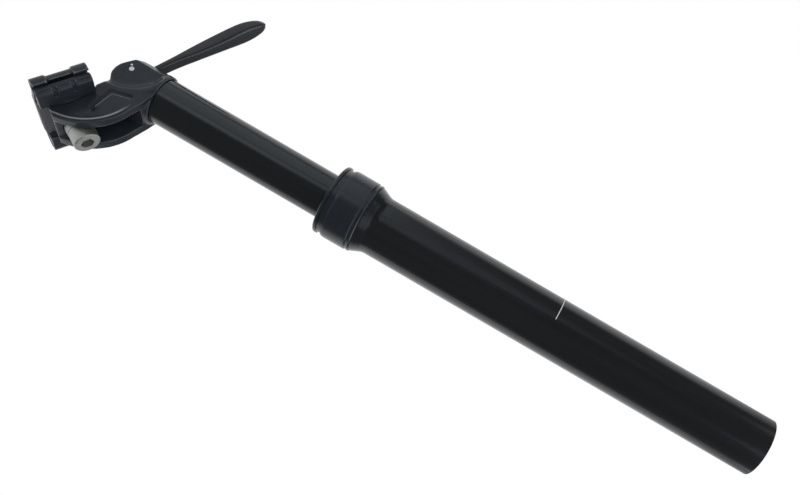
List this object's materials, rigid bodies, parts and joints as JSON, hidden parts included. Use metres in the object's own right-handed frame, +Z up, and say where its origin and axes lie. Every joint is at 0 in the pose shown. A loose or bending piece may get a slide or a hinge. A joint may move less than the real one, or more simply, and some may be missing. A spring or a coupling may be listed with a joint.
{
  "type": "dropper seatpost",
  "caption": "Telescoping bicycle seatpost with a laid-back forged head, a two-piece saddle rail clamp and a height lever under the saddle.",
  "frame": {"origin": "on the post's axis at the lower end of the outer tube", "axes": "+Z up the post to the head, +X forward to the lever and the saddle's nose, rider's right side at -Y"},
  "size_m": [0.1195, 0.0552, 0.4015],
  "materials": {
    "black_anodised": "glossy black anodised aluminium",
    "black_anodised_nut": "satin black anodised aluminium",
    "black_hard_anodised": "glossy hard anodised aluminium",
    "seal_rubber": "matt black rubber",
    "slide_plastic": "dark low friction plastic",
    "plug_black": "black anodised aluminium",
    "zinc_steel": "zinc plated steel",
    "polished_steel": "polished steel",
    "piston_aluminium": "turned aluminium",
    "bumper_rubber": "black rubber",
    "key_brass": "plain brass",
    "cartridge_aluminium": "plain aluminium",
    "forged_black": "satin black coating on a forging",
    "pin_steel": "blackened steel",
    "lever_black": "satin black coating on a forging"
  },
  "bodies": {
    "outer": {"outer_tube": "black_anodised", "collar_nut": "black_anodised_nut", "wiper_seal": "seal_rubber", "upper_bushing": "slide_plastic", "base_plug": "plug_black", "base_bolt": "zinc_steel", "bottom_bumper": "bumper_rubber", "cartridge_rod": "polished_steel", "rod_piston": "piston_aluminium", "piston_nut": "zinc_steel"},
    "stanchion": {"inner_tube": "black_hard_anodised", "lower_bushing": "slide_plastic", "anti_rotation_keys": "key_brass", "topout_bumper": "bumper_rubber", "cartridge_body": "cartridge_aluminium", "inner_cylinder": "cartridge_aluminium", "cartridge_gland": "plug_black", "cartridge_cap": "plug_black", "head": "forged_black", "lever_pivot_pin": "pin_steel", "pin_lock_screw": "pin_steel"},
    "valve": {"valve_pin": "polished_steel"},
    "lever": {"lever": "lever_black"},
    "clamp": {"lower_clamp": "forged_black", "upper_clamp": "forged_black", "clamp_bolt": "zinc_steel", "clamp_washer": "zinc_steel", "clamp_nut": "zinc_steel"}
  },
  "joints": [
    {"name": "stanchion_slide", "type": "slide", "parent": "outer", "child": "stanchion", "axis": [0, 0, 1], "range_m": [-0.1, 0]},
    {"name": "lever_pull", "type": "hinge", "parent": "stanchion", "child": "lever", "pos_m": [0.0022, 0, 0.3748], "axis": [0, -1, 0], "range_deg": [0, 22], "stiffness_Nm_per_rad": 1.5, "springref_deg": -5.73},
    {"name": "valve_press", "type": "slide", "parent": "stanchion", "child": "valve", "axis": [0, 0, -1], "range_m": [0, 0.00155]},
    {"name": "clamp_tilt", "type": "hinge", "parent": "stanchion", "child": "clamp", "pos_m": [-0.0208, 0, 0.4041], "axis": [0, 1, 0], "range_deg": [-28, 4]}
  ],
  "couplings": [
    {"joint": "valve_press", "follows": "lever_pull", "m_per_rad": 0.00403}
  ]
}
